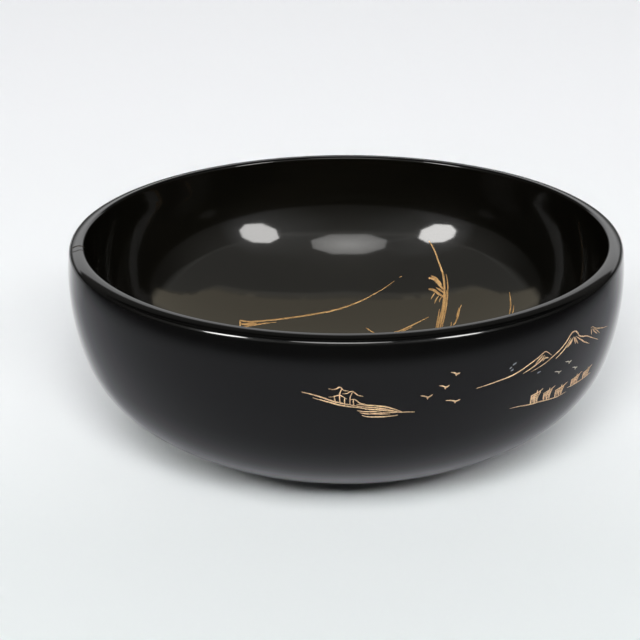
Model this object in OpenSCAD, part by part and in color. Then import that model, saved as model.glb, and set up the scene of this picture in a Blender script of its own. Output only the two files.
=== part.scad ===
/* [Bowl] */
// Largest outside diameter
bowl_diameter = 280; // [200:1:360]
// Overall height with the foot
bowl_height = 108; // [80:1:140]
// Radius of the opening at the lip
mouth_radius = 131.2; // [95:0.1:170]
// Thickness of the coats of lacquer
lacquer = 0.5; // [0.2:0.05:1]

/* [Foot] */
// Outer radius of the foot ring
foot_radius = 52; // [30:0.5:70]
// Width of the foot ring
foot_width = 7; // [3:0.5:15]
// Rounding of the foot's lower edges
foot_round = 1; // [0.6:0.1:2]

/* [Gold] */
// Height of the gold lines over the lacquer
gold = 0.15; // [0.1:0.01:0.4]
// Width of a usual brush line
line = 0.75; // [0.4:0.05:1.5]

/* [Hidden] */

R = bowl_diameter / 2;
black = [0.05, 0.05, 0.055];
olive = [0.09, 0.08, 0.06];
wood = [0.62, 0.44, 0.27];
yellow = [0.83, 0.66, 0.36];
silver = [0.78, 0.77, 0.74];

// Outer wall: arcs about four centres, widest at wide_z, angles from the horizontal
wide_z = bowl_height - 16.8;
up_r = 95; up_a = 8;
low1_r = 121; low1_a = 16.7;
low2_r = 57.6; low2_a = 50;
low3_r = 100;
lip_r = 3.6; lip_a = 81;
crest_r = 1.5;
// Inner wall: straight to in1_z, then two arcs; the wall is 8.5 mm thick near the lip and 14 mm low down
in1_z = wide_z + 4.8; in1_r = 75; in1_a = 30;
in2_r = 92;

function dir(a) = [cos(a), sin(a)];
function arc(c, r, a0, a1, n) = [for (i = [0:n]) c + r * dir(a0 + (a1 - a0) * i / n)];
function cut(p) = [for (i = [1:len(p) - 1]) p[i]];

c_up = [R - up_r, wide_z];
c_low1 = [R - low1_r, wide_z];
c_low2 = c_low1 + (low1_r - low2_r) * dir(-low1_a);
c_low3 = c_low2 + (low2_r - low3_r) * dir(-low2_a);
c_lip = c_up + (up_r - lip_r) * dir(up_a);
crest_l = (c_lip[0] + (lip_r - crest_r) * cos(lip_a) - mouth_radius - crest_r) / sin(lip_a);
c_crest = c_lip + (lip_r - crest_r) * dir(lip_a) + crest_l * [-sin(lip_a), cos(lip_a)];
c_in1 = [mouth_radius - in1_r, in1_z];
c_in2 = c_in1 + (in1_r - in2_r) * dir(-in1_a);
floor_z = c_in2[1] - in2_r;
base_z = c_low3[1] - low3_r;
end_a = acos((foot_radius - 0.5 - c_low3[0]) / low3_r);

// Outer wall from the foot to the widest circle and on to the lip, t inside the surface
function wall_low(t) = concat(arc(c_low3, low3_r - t, -end_a, -low2_a, 12),
    cut(arc(c_low2, low2_r - t, -low2_a, -low1_a, 12)), cut(arc(c_low1, low1_r - t, -low1_a, 0, 7)));
function wall_up(t) = concat(cut(arc(c_up, up_r - t, 0, up_a, 4)), cut(arc(c_lip, lip_r - t, up_a, lip_a, 9)),
    cut(arc(c_crest, crest_r - t, lip_a - 0.01, 90, 1)), cut(arc(c_crest, crest_r - t, 90, 150, 5)));
// Inner wall from the lip down to the floor, t into the wood
function wall_in(t) = concat([c_crest + (crest_r - t) * dir(150)], [c_crest + (crest_r - t) * dir(165)],
    [c_crest + (crest_r - t) * dir(180)], arc(c_in1, in1_r + t, 0, -in1_a, 12),
    cut(arc(c_in2, in2_r + t, -in1_a, -90, 24)));
function back(p) = [for (i = [len(p) - 1:-1:0]) p[i]];

module turned(p) rotate_extrude($fn = 180) polygon(p);

// Closed solids of revolution
module wood_core() color(wood) turned(concat([[0, base_z + lacquer]], [[foot_radius - 0.5, base_z + lacquer]],
    cut(wall_low(lacquer)), wall_up(lacquer), cut(wall_in(lacquer)), [[0, floor_z - lacquer]]));

module foot_ring() color(wood) turned([[foot_radius - foot_width + lacquer, lacquer],
    [foot_radius - lacquer, lacquer], [foot_radius - lacquer, base_z + lacquer],
    [foot_radius - foot_width + lacquer, base_z + lacquer]]);

module outer_lacquer() color(black) turned(concat(wall_low(0), wall_up(0),
    back(concat(wall_low(lacquer), wall_up(lacquer)))));

module inner_lacquer() color(olive) turned(concat(wall_in(0), [[0, floor_z]], [[0, floor_z - lacquer]],
    back(wall_in(lacquer))));

function foot_in() = foot_radius - foot_width;
module underside_lacquer() color(black) turned(concat([[0, base_z]], [[foot_in(), base_z]],
    arc([foot_in() + foot_round, foot_round], foot_round, 180, 270, 5),
    arc([foot_radius - foot_round, foot_round], foot_round, 270, 360, 5),
    [[foot_radius, base_z - 0.02]], [[foot_radius - lacquer, base_z - 0.02]],
    [[foot_radius - lacquer, lacquer]], [[foot_in() + lacquer, lacquer]],
    [[foot_in() + lacquer, base_z + lacquer]], [[0, base_z + lacquer]]));

// A brush stroke through points p, w wide in the middle, with ends k0 and k1 times as wide
function unit(v) = v / max(norm(v), 0.0001);
function side(p, i) = let (d = unit(p[min(i + 1, len(p) - 1)] - p[max(i - 1, 0)])) [-d[1], d[0]];
function swell(u, k0, k1) = u < 0.5 ? k0 + (1 - k0) * sin(180 * u) : k1 + (1 - k1) * sin(180 * u);
function fine(p) = [for (i = [0:len(p) - 2], j = [0, 0.5]) j == 0 ? p[i] :
    (9 * (p[i] + p[i + 1]) - p[max(i - 1, 0)] - p[min(i + 2, len(p) - 1)]) / 16];
function smooth(p) = concat(fine(p), [p[len(p) - 1]]);
module stroke(p, w = line, k0 = 0.35, k1 = 0.35, curved = true) {
    q = curved && len(p) > 2 ? smooth(p) : p;
    n = len(q) - 1;
    polygon(concat([for (i = [0:n]) q[i] + side(q, i) * w / 2 * swell(i / n, k0, k1)],
        [for (i = [n:-1:0]) q[i] - side(q, i) * w / 2 * swell(i / n, k0, k1)]));
}

// Points on the outer wall: degrees round from the front, height. Drawn flat at angle a.
function out_at(a, p) = [for (q = p) [139 * sin(q[0] - a), q[1]]];
// Points on the inner wall in plan: degrees round from the back, radius
function in_at(p) = [for (q = p) [q[1] * sin(q[0]), q[1] * cos(q[0])]];

module film_out(z0, z1) {
    low = [for (q = wall_low(0)) if (q[1] > z0 && q[1] <= z1) q];
    up = z1 > wide_z ? [for (q = cut(arc(c_up, up_r, 0, up_a, 4))) if (q[1] < z1) q] : [];
    face = concat(low, up);
    turned(concat(face, back([for (q = face) q + [gold, 0]])));
}
module film_in(r0, r1) {
    face = [for (q = wall_in(0)) if (q[0] >= r0 && q[0] <= r1 && q[1] < wide_z) q];
    turned(concat(face, back([for (q = face) q + gold * [-0.5, 0.87]])));
}
module on_wall(a, z0, z1) intersection() {
    film_out(z0, z1);
    rotate([0, 0, a]) rotate([90, 0, 0]) translate([0, 0, 90]) linear_extrude(60) children();
}
module in_bowl(r0, r1) intersection() {
    film_in(r0, r1);
    translate([0, 0, 10]) linear_extrude(90) children();
}

module gold_islet() color(yellow) on_wall(2, 64, 92) {
    a = 2;
    stroke(out_at(a, [[-8, 82.3], [-6, 81.2], [-4, 79.7], [-2.5, 78.3], [0, 76.8], [2.2, 75.6]]), 0.9);
    stroke(out_at(a, [[-6, 79.6], [-4.5, 78.6], [-3, 77.6], [-1, 76.2], [1, 75.3], [3, 74.8]]), 0.9);
    stroke(out_at(a, [[-3.1, 84.4], [-2.2, 84.1], [-1.6, 84.6], [-1.2, 85.2], [-0.8, 84.9], [-0.4, 83.8],
        [0.5, 83.3]]), 0.75);
    stroke(out_at(a, [[-0.6, 82], [0.3, 82.2], [0.8, 83], [1.3, 83.1], [1.7, 82.3], [2.3, 81.2],
        [3.2, 80.6]]), 0.7);
    stroke(out_at(a, [[-0.7, 84.3], [-1, 82.8], [-1.1, 81], [-1.1, 79], [-1, 77]]), 0.75, 0.8, 0.8);
    stroke(out_at(a, [[1.2, 82.6], [1, 81.4], [0.8, 80], [0.8, 76.6]]), 0.6, 0.8, 0.8);
    stroke(out_at(a, [[-3.1, 80.3], [-2.5, 80.4], [-1.8, 80.9], [-1.1, 81.3], [-0.5, 80.5],
        [0.2, 79.4]]), 0.6);
    stroke(out_at(a, [[-2.1, 80.8], [-2, 79.4], [-1.9, 77.8]]), 0.6, 0.8, 0.8);
    stroke(out_at(a, [[-0.2, 80.3], [-0.2, 78.8], [-0.2, 76.6]]), 0.6, 0.8, 0.8);
    stroke(out_at(a, [[0.8, 79], [1.5, 79.2], [2, 78.5], [2.6, 77.2], [3.8, 76.4]]), 0.7);
    stroke(out_at(a, [[1.4, 79], [1.4, 77.6], [1.5, 75.8]]), 0.6, 0.8, 0.8);
    stroke(out_at(a, [[2, 76.6], [3.8, 76.1], [5.8, 75.5], [7.6, 74.6], [9, 73.3], [10.4, 71.7]]), 0.9);
    stroke(out_at(a, [[1.4, 76], [3.4, 75.2], [5.4, 74.6], [7.4, 73.6], [9.4, 72.2]]), 0.8);
    stroke(out_at(a, [[2.2, 74.9], [4, 74], [6, 73.4], [8, 72.6], [10, 71.8]]), 0.9);
    stroke(out_at(a, [[2.1, 73.3], [3.6, 72.7], [5.2, 72.6], [6.6, 72.1]]), 0.8);
    stroke(out_at(a, [[2.6, 72.2], [4, 71.5], [5.6, 71.4], [8.2, 70.9]]), 0.9);
    stroke(out_at(a, [[3, 70.8], [4, 70], [6, 69.7], [8, 69.7], [9.7, 70]]), 0.9);
    stroke(out_at(a, [[6.4, 72], [8, 71.7], [10.3, 71.5], [12.9, 71]]), 0.6);
}

// A flying bird: long left wing, body, short raised right wing
module bird(x, z, l, r, lift, w) {
    stroke([[x - l, z + 1.2], [x - l / 2, z + 0.8], [x, z]], w, 0.3, 1.2);
    stroke([[x, z], [x + r * 0.6, z + lift * 0.5], [x + r, z + lift]], w, 1.2, 0.4);
    stroke([[x - 0.5, z + 0.3], [x - 0.3, z - 0.9]], w * 1.3, 0.6, 0.4, false);
}
module gold_birds() color(yellow) on_wall(18, 66, 94) {
    bird(-6.4, 77.9, 3.6, 1.9, 1.3, 0.75);
    bird(1.8, 81.9, 3.2, 1.5, 0.8, 0.75);
    bird(7, 73.9, 5, 2, 0.6, 0.8);
    bird(6.8, 87.8, 3, 1.4, 0.3, 0.8);
}

module gold_mountains() color(yellow) on_wall(45, 76, 97) {
    a = 45;
    stroke(out_at(a, [[25, 78.7], [27, 79.3], [29, 79.9], [32, 80.8], [34, 81.9], [36, 83.6], [38, 85.4],
        [40, 87.4], [40.6, 88], [41.4, 87.4], [42.6, 85]]), 0.8);
    stroke(out_at(a, [[35.4, 80.5], [37.2, 81.8], [38.6, 83], [40.2, 84.6], [40.9, 85.8]]), 0.8);
    stroke(out_at(a, [[38.4, 83.3], [39.2, 85], [40.2, 86.6]]), 0.9);
    stroke(out_at(a, [[39.4, 83.6], [40.2, 85.2], [40.6, 86.4]]), 0.9);
    stroke(out_at(a, [[40.2, 83.7], [41, 84.8], [41.8, 84.2]]), 0.9);
    stroke(out_at(a, [[37.4, 80.1], [39, 80.9], [41, 82.1], [43, 84], [45, 86], [46.6, 88.3], [48, 91.2],
        [48.8, 92.1], [49.8, 91.7], [50.6, 90], [51, 88.6], [52.4, 87.1], [54, 86], [56, 83.6],
        [59.4, 79.6]]), 0.85);
    stroke(out_at(a, [[44, 82.3], [45, 83.4], [46.4, 85.4], [47.4, 87.6], [48.2, 89.6]]), 0.8);
    stroke(out_at(a, [[46.4, 85.6], [47.6, 86.6], [48.6, 88.8]]), 1);
    stroke(out_at(a, [[47.2, 85.4], [48.4, 87.2], [49, 89.4]]), 1);
    stroke(out_at(a, [[49.9, 85.4], [49.6, 87.2], [49.2, 89.4]]), 1);
    stroke(out_at(a, [[50.8, 84.8], [50.2, 86.6], [49.6, 88.8]]), 1);
    stroke(out_at(a, [[49.8, 89.2], [50.8, 87.6], [52, 85.6], [53.4, 83.4], [55.4, 81]]), 0.8);
    stroke(out_at(a, [[55.4, 88.8], [56.2, 88.9], [57.6, 87], [60, 85], [62, 83.6], [64, 82.4]]), 0.7);
    stroke(out_at(a, [[55.6, 88.4], [55.8, 86.6], [56, 85]]), 0.8);
    stroke(out_at(a, [[56.2, 87.8], [57, 86], [58.6, 83.4]]), 0.8);
    stroke(out_at(a, [[56.6, 87.6], [58.2, 85.4], [60, 82.4]]), 0.7);
}

module silver_flecks() color(silver) on_wall(36, 74, 93) {
    stroke(out_at(36, [[32.8, 86.5], [33.5, 87.1]]), 1, 0.9, 0.7, false);
    stroke(out_at(36, [[32.1, 85], [32.5, 85.5]]), 0.9, 0.9, 0.7, false);
    stroke(out_at(36, [[32.4, 83.7], [32.9, 84.2]]), 0.9, 0.9, 0.7, false);
    stroke(out_at(36, [[39.2, 78.2], [39.9, 78.6]]), 0.9, 0.9, 0.7, false);
}

module silver_birds() color(silver) on_wall(48, 66, 84) {
    bird(139 * sin(48.7 - 48), 76.9, 3.6, 1.4, 0.3, 0.7);
    bird(139 * sin(45.7 - 48), 74, 3.8, 1.3, 0.2, 0.7);
    bird(139 * sin(51.4 - 48), 71.6, 3.2, 1.2, 0.2, 0.7);
}

// A bush: three leaning stems under a flat crown that runs up to the right, k times the usual width
module bush(x, z, h, k) {
    stroke([[x - 3.4 * k, z + h * 0.9], [x - 3.2 * k, z + h * 0.45], [x - 2.8 * k, z + 0.3]], 1.2, 0.7, 0.7);
    stroke([[x - 0.8 * k, z + h * 0.95], [x - 0.9 * k, z + h * 0.5], [x - 0.2 * k, z]], 1.3, 0.7, 0.7);
    stroke([[x + 2.4 * k, z + h], [x + 1.4 * k, z + h * 0.5], [x + 1.6 * k, z]], 1.2, 0.7, 0.7);
    stroke([[x - 3.8 * k, z + h * 0.9], [x - k, z + h * 0.95], [x + 1.4 * k, z + h * 1.02],
        [x + 4.4 * k, z + h * 1.25]], 1, 0.6, 0.3);
    stroke([[x - 3 * k, z + h * 0.5], [x - 0.6 * k, z + h * 0.6], [x + 1.8 * k, z + h * 0.4]], 0.9, 0.6, 0.5);
    stroke([[x + 0.4 * k, z + h * 1.3], [x + 0.2 * k, z + h]], 0.7, 0.5, 0.8, false);
}
module gold_bushes_near() color(yellow) on_wall(42, 56, 71) {
    a = 42;
    bush(-5, 62, 5.4, 1);
    bush(3.6, 61, 5.5, 1);
    bush(13, 59.6, 5.6, 1.1);
    stroke(out_at(a, [[33.4, 63.2], [35.7, 62.8], [38.4, 61.8], [41.2, 61.3], [44.3, 60.2], [47.2, 59.5],
        [49.9, 59.8]]), 0.8);
}
module gold_bushes_far() color(yellow) on_wall(55, 57, 71) {
    a = 55;
    bush(-6, 61.6, 4.8, 1.2);
    bush(5, 61.5, 4.8, 1.2);
    stroke(out_at(a, [[49.8, 62.1], [51.7, 61.7], [54, 61.7], [56.5, 61.6], [59.2, 61.9]]), 0.8);
}

module gold_long_slope() color(yellow) in_bowl(87, 113) {
    stroke(in_at([[14.6, 109.2], [12.2, 106.1], [9.3, 103.1], [6.3, 100.2], [3.1, 97.8], [-0.2, 95.8],
        [-3.6, 94.3], [-7.2, 93.2], [-14.4, 92.1], [-20, 91.9], [-25.4, 92.1], [-31, 92.9], [-34.6, 93.8],
        [-37.5, 95.6]]), 1.3, 0.3, 1);
    stroke(in_at([[-25.4, 90.7], [-30.8, 91.3], [-35, 91.7], [-38.6, 92.2]]), 1.2, 0.3, 1);
    stroke(in_at([[-37.6, 96], [-38.3, 94.5], [-39.1, 92.5]]), 1.2, 0.7, 0.7);
    stroke(in_at([[-32.6, 92.2], [-36.1, 93], [-38, 93.8]]), 2, 0.4, 0.8);
}
module gold_second_slope() color(yellow) in_bowl(76, 99) {
    stroke(in_at([[29.3, 94.7], [27, 91.5], [24.2, 87.7], [21.8, 84.8], [19.1, 82.5],
        [13.9, 79.6]]), 1.3, 0.5, 0.6);
    stroke(in_at([[25.1, 87.5], [22.4, 84.1], [19.7, 81.8], [15, 79.4]]), 1.2, 0.4, 0.6);
}
module gold_short_stroke() color(yellow) in_bowl(76, 88)
    stroke(in_at([[7.8, 83.7], [10, 81.9], [12.3, 79.8]]), 1, 0.5, 0.5);

module gold_pine() color(yellow) in_bowl(83, 126) {
    stroke(in_at([[22.5, 123.7], [24.4, 121.5], [26.1, 118.7], [27.6, 116.2], [29.1, 113.4], [30.5, 109.3],
        [31.6, 105.2], [32.6, 100.6], [33.4, 95.5], [34.6, 90], [35.4, 87]]), 1.2, 0.4, 0.7);
    stroke(in_at([[29.6, 114.6], [31.1, 111.1], [32.2, 107.2], [33.3, 102.9], [34.4, 98.1], [35.7, 92.2],
        [36.8, 87.6]]), 0.9);
    stroke(in_at([[31.7, 99.8], [32.5, 96.3], [33.5, 92], [34.5, 88]]), 1);
    stroke(in_at([[24.9, 112.1], [26.1, 112.2], [28, 110.8], [30.2, 108.8]]), 1.4, 0.8, 0.6);
    stroke(in_at([[25.2, 113.2], [27, 112.4], [29.4, 110.3]]), 1);
    stroke(in_at([[25.9, 107.8], [27.4, 107.7], [29.3, 106.6], [31.3, 105.6]]), 1.3, 0.8, 0.6);
    stroke(in_at([[27.9, 108.9], [29.4, 108.2], [31, 107.3]]), 0.8);
    stroke(in_at([[27.6, 103.6], [27.8, 105.3], [28.1, 106.8]]), 0.9);
    stroke(in_at([[29.3, 101.9], [29.3, 103.6], [29.6, 105.6]]), 0.9);
    stroke(in_at([[30.7, 103], [30.5, 104.4], [30.8, 105.7]]), 0.9);
}
module gold_bud() color(yellow) in_bowl(85, 108) {
    stroke(in_at([[38.2, 104], [38.6, 101.1], [39.2, 98.2], [39.7, 95], [39.5, 90.7]]), 1.3, 0.4, 0.6);
    stroke(in_at([[38, 102.5], [38.8, 99.7], [39.5, 96.7]]), 2.2, 0.2, 0.2);
    stroke(in_at([[38.2, 95], [39, 92.6], [39.4, 90.3]]), 0.9);
}
module gold_reeds() color(yellow) in_bowl(98, 119) {
    stroke(in_at([[51.7, 114.7], [53.5, 112.3], [55.2, 109.7], [56.4, 107.1], [57.3, 105.1]]), 1.1, 0.4, 0.6);
    stroke(in_at([[55.6, 111.2], [56.8, 109.1], [57.8, 106.4]]), 0.9);
}

wood_core();
foot_ring();
outer_lacquer();
inner_lacquer();
underside_lacquer();
gold_islet();
gold_birds();
gold_mountains();
silver_flecks();
silver_birds();
gold_bushes_near();
gold_bushes_far();
gold_long_slope();
gold_second_slope();
gold_short_stroke();
gold_pine();
gold_bud();
gold_reeds();
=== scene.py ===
import math

import bmesh
import bpy
import numpy as np
from mathutils import Matrix, Vector


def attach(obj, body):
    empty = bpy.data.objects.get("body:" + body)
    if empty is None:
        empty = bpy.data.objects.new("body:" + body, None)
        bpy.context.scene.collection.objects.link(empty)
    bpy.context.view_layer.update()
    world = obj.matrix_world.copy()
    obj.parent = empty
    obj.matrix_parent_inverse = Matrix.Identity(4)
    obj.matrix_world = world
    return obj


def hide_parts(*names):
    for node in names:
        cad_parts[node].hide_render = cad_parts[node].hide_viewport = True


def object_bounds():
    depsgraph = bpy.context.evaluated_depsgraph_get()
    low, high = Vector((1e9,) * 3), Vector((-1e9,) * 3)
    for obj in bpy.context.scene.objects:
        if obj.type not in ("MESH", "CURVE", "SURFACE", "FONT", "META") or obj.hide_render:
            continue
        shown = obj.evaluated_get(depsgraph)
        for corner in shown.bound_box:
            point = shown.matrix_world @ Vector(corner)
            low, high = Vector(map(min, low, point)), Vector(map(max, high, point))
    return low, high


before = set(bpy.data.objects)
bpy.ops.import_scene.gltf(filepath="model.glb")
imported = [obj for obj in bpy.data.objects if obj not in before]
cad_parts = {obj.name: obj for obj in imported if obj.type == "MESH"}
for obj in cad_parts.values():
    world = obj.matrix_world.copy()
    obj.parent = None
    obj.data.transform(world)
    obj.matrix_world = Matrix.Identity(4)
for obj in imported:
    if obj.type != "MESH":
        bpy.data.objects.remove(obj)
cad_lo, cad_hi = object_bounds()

# ---------------------------------------------------------------- sizes, in mm
R = round(cad_hi.x * 1000, 1)          # widest radius
H = round(cad_hi.z * 1000, 1)          # height
MOUTH = 131.2                          # radius of the opening
COAT = 0.5                             # thickness of the lacquer
FOOT = 52.0                            # outer radius of the foot ring
FOOT_IN = 45.0                         # its inner radius
WIDE_Z = H - 16.8                      # height of the widest place
UP_R, WIDE_R, BELLY_R, BASE_R = 95, 121, 57.6, 100     # curves of the outer wall, from the lip down to the foot
WALL_R, BOWL_R = 75, 92                # curves of the inner wall: the upper part, and the sweep into the floor
LIP_R, CREST_R = 3.6, 1.5              # roundings of the lip, outside and inside
# degrees above level at which one curve passes into the next
LIP_A, CREST_A, SEAM_A, WIDE_A, BELLY_A, WALL_A = 8, 81, 150, -16.7, -50, -30
CROWN = 12                             # the crest is slightly crowned: its slope turns this far to each side


def unit2(a):
    return np.array([math.cos(math.radians(a)), math.sin(math.radians(a))])


def arc(c, r, a0, a1, n, inward=False):
    """Points of an arc with its normals: rows of (r, z, nr, nz)."""
    rows = []
    for i in range(n + 1):
        d = unit2(a0 + (a1 - a0) * i / n)
        rows.append(np.concatenate([c + r * d, -d if inward else d]))
    return rows


c_up = np.array([R - UP_R, WIDE_Z])
c_wide = np.array([R - WIDE_R, WIDE_Z])
c_belly = c_wide + (WIDE_R - BELLY_R) * unit2(WIDE_A)
c_base = c_belly + (BELLY_R - BASE_R) * unit2(BELLY_A)
c_lip = c_up + (UP_R - LIP_R) * unit2(LIP_A)
across = unit2(CREST_A)
c_crest = c_lip + (LIP_R - CREST_R) * across
c_crest = c_crest + (c_crest[0] - MOUTH - CREST_R) / across[1] * np.array([-across[1], across[0]])
c_wall = np.array([MOUTH - WALL_R, WIDE_Z + 4.8])
c_bowl = c_wall + (WALL_R - BOWL_R) * unit2(WALL_A)
FLOOR_Z = c_bowl[1] - BOWL_R
BASE_Z = c_base[1] - BASE_R
FOOT_A = -math.degrees(math.acos((FOOT - 0.5 - c_base[0]) / BASE_R))

crest_out = c_lip + LIP_R * unit2(CREST_A - CROWN)
crest_in = c_crest + CREST_R * unit2(CREST_A + CROWN)
chord = crest_out - crest_in
CROWN_A = 90 + math.degrees(math.atan2(chord[1], chord[0]))
crown_r = np.hypot(*chord) / (2 * math.sin(math.radians(CROWN)))
c_crown = (crest_out + crest_in) / 2 - crown_r * math.cos(math.radians(CROWN)) * unit2(CROWN_A)

# outer wall from the foot up and over the lip, inner wall from the lip down to the middle of the floor
outer_rows = arc(c_base, BASE_R, FOOT_A, BELLY_A, 34)
for part in (arc(c_belly, BELLY_R, BELLY_A, WIDE_A, 26), arc(c_wide, WIDE_R, WIDE_A, 0, 18),
             arc(c_up, UP_R, 0, LIP_A, 8), arc(c_lip, LIP_R, LIP_A, CREST_A - CROWN, 20),
             arc(c_crown, crown_r, CROWN_A - CROWN, CROWN_A + CROWN, 10),
             arc(c_crest, CREST_R, CREST_A + CROWN, SEAM_A, 10)):
    outer_rows += part[1:]
neck = [np.array([MOUTH, z, -1.0, 0.0]) for z in np.linspace(c_crest[1], c_wall[1], 7)[1:-1]]
inner_rows = arc(c_crest, CREST_R, SEAM_A, 180, 6) + neck + arc(c_wall, WALL_R, 0, WALL_A, 26, True)
inner_rows += arc(c_bowl, BOWL_R, WALL_A, -90, 56, True)[1:]
inner_rows += [np.array([r, FLOOR_Z, 0.0, 1.0]) for r in (34, 26, 18, 10, 4, 0)]
outer_rows = np.array(outer_rows)
inner_rows = np.array(inner_rows)


def lengths(rows):
    return np.concatenate([[0], np.cumsum(np.hypot(np.diff(rows[:, 0]), np.diff(rows[:, 1])))])


outer_s = lengths(outer_rows)
inner_s = lengths(inner_rows)


def ramp(x, a, b):
    t = np.clip((x - a) / (b - a), 0, 1)
    return t * t * (3 - 2 * t)


def wobble(az, s, seed, amp):
    """The slight unevenness of a hand-coated wall: a sum of a few long waves, the same every run."""
    g = np.random.default_rng(seed)
    total = np.zeros(np.broadcast(az, s).shape)
    for k in range(14):
        m = int(g.integers(1, 15))
        q = g.uniform(-1, 1) * 2 * math.pi / g.uniform(35, 90)
        total = total + np.sin(m * az + q * s + g.uniform(0, 2 * math.pi)) / (1 + 0.25 * m)
    return amp * total / 2.2


# The hairline crack across the lip at the left, and a fainter one beside it: place in degrees from the
# front (towards +X), half width and depth in mm, and where its wander starts
CRACKS = [(-82.3, 0.32, 0.40, 0.0), (-79.6, 0.20, 0.14, 1.7)]
CREST_RADIUS = 134                     # where distances along the lip are measured


def crack_depth(az, s_lip):
    """Depth of the cracks at a place on the lip; s_lip is the distance from the inner edge over the lip."""
    d = np.zeros(np.broadcast(az, s_lip).shape)
    for deg, half, deep, ph in CRACKS:
        wander = 0.35 * np.sin(s_lip * 1.3 + ph) + 0.12 * np.sin(s_lip * 3.7 + 2 * ph)
        off = (az - math.radians(deg)) * CREST_RADIUS - wander
        along = ramp(s_lip, -2.2, -0.6) * (1 - ramp(s_lip, 5.5, 7.5))
        d = d + deep * along * np.exp(-(off / half) ** 2)
    return d


def crack_mark(az, s_lip):
    """How much of the dark line of a crack shows at a place, 0 to 1."""
    return np.clip(crack_depth(az, s_lip) / 0.2, 0, 1)


LIP_S = outer_s[-1]                     # the seam between the two coats, just inside the crest


def outer_height(az, s):
    keep = ramp(s, 2, 18) * (1 - ramp(s, LIP_S - 6, LIP_S))
    return wobble(az, s, 11, 0.05) * keep - crack_depth(az, LIP_S - s)


def inner_height(az, s):
    r = np.interp(s, inner_s, inner_rows[:, 0])
    keep = ramp(s, 0.5, 8) * ramp(r, 2, 40)
    return wobble(az, s, 23, 0.04) * keep - crack_depth(az, -s)


def on_surface(rows, sl, height, az, s, lift=0.0):
    """Points on the coated surface, in mm, and the normals there."""
    p = [np.interp(s, sl, rows[:, k]) for k in range(4)]
    n = np.hypot(p[2], p[3])
    nr, nz = p[2] / n, p[3] / n
    h = height(az, s) + lift
    r, z = p[0] + nr * h, p[1] + nz * h
    pos = np.stack([r * np.sin(az), -r * np.cos(az), z], -1)
    nor = np.stack([nr * np.sin(az), -nr * np.cos(az), nz + 0 * az], -1)
    return pos, nor


def outer_at(az, z, lift=0.0):
    upto = np.argmax(outer_rows[:, 1])
    s = np.interp(z, outer_rows[:upto, 1], outer_s[:upto])
    return on_surface(outer_rows, outer_s, outer_height, az, s, lift)


def inner_at(az, s, lift=0.0):
    return on_surface(inner_rows, inner_s, inner_height, az, s, lift)


# ---------------------------------------------------------------- meshes
def make(name, verts, faces, mat, angle=40):
    me = bpy.data.meshes.new(name)
    me.from_pydata([tuple(v) for v in np.asarray(verts) / 1000.0], [], faces)
    me.validate()
    me.update()
    ob = bpy.data.objects.new(name, me)
    bpy.context.scene.collection.objects.link(ob)
    me.polygons.foreach_set("use_smooth", [True] * len(me.polygons))
    me.set_sharp_from_angle(angle=math.radians(angle))
    me.materials.append(mat)
    return ob


def columns():
    """Directions round the bowl, closer together at the cracks."""
    az = list(np.radians(np.arange(-180, 180, 1.0)))
    for deg, half, deep, ph in CRACKS:
        az += list(np.radians(deg + np.arange(-0.56, 0.57, 0.04)))
    az = np.array(sorted(az))
    return az[np.concatenate([[True], np.diff(az) > math.radians(0.015)])]


AZ = columns()


def lathe(name, loop, mat, marks=(), angle=40):
    """A closed turned solid. loop is a list of rings: an array of points, or one point at the axis.
    marks: for the first rings, how much of a crack's dark line shows at each point."""
    verts, ring, faces = [], [], []
    for pts in loop:
        pts = np.atleast_2d(pts)
        ring.append(list(range(len(verts), len(verts) + len(pts))))
        verts.extend(pts)
    n = len(AZ)
    closed = len(ring[0]) > 1
    for i in range(len(ring) if closed else len(ring) - 1):
        a, b = ring[i], ring[(i + 1) % len(ring)]
        if len(a) == len(b) == 1:
            continue
        for j in range(n):
            k = (j + 1) % n
            if len(a) == 1:
                faces.append((a[0], b[k], b[j]))
            elif len(b) == 1:
                faces.append((a[j], a[k], b[0]))
            else:
                faces.append((a[j], a[k], b[k], b[j]))
    ob = make(name, verts, faces, mat, angle)
    mark = np.zeros(len(verts))
    for i, m in enumerate(marks):
        mark[ring[i]] = m if len(ring[i]) > 1 else 0
    ob.data.attributes.new("crack", "FLOAT", "POINT").data.foreach_set("value", mark)
    return ob


def ring_at(r, z):
    if r < 1e-6:
        return np.array([[0, 0, z]])
    return np.stack([r * np.sin(AZ), -r * np.cos(AZ), z + 0 * AZ], -1)


# ---------------------------------------------------------------- materials
def new_material(name, base, rough, metallic=0.0):
    m = bpy.data.materials.new(name)
    m.use_nodes = True
    nt = m.node_tree
    b = nt.nodes["Principled BSDF"]
    b.inputs["Base Color"].default_value = (*base, 1)
    b.inputs["Roughness"].default_value = rough
    b.inputs["Metallic"].default_value = metallic
    return m, nt, b


def node(nt, kind, **values):
    n = nt.nodes.new(kind)
    for k, v in values.items():
        if k in n.inputs:
            n.inputs[k].default_value = v
        else:
            setattr(n, k, v)
    return n


def ramp_node(nt, fac, stops):
    """A colour ramp over fac; stops are pairs of a position and a colour or a grey."""
    n = nt.nodes.new("ShaderNodeValToRGB")
    nt.links.new(fac, n.inputs[0])
    el = n.color_ramp.elements
    while len(el) < len(stops):
        el.new(0.5)
    for e, (p, c) in zip(el, stops):
        e.position = p
        e.color = (*c, 1) if isinstance(c, tuple) else (c, c, c, 1)
    return n.outputs[0]


def mapped(nt, scale=(1, 1, 1)):
    tc = nt.nodes.new("ShaderNodeTexCoord")
    mp = node(nt, "ShaderNodeMapping")
    mp.inputs["Scale"].default_value = scale
    nt.links.new(tc.outputs["Object"], mp.inputs[0])
    return mp.outputs[0]


def noise_of(nt, co, scale, detail=4.0, rough=0.55):
    n = node(nt, "ShaderNodeTexNoise", Scale=scale, Detail=detail, Roughness=rough)
    nt.links.new(co, n.inputs["Vector"])
    return n.outputs["Fac"]


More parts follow.
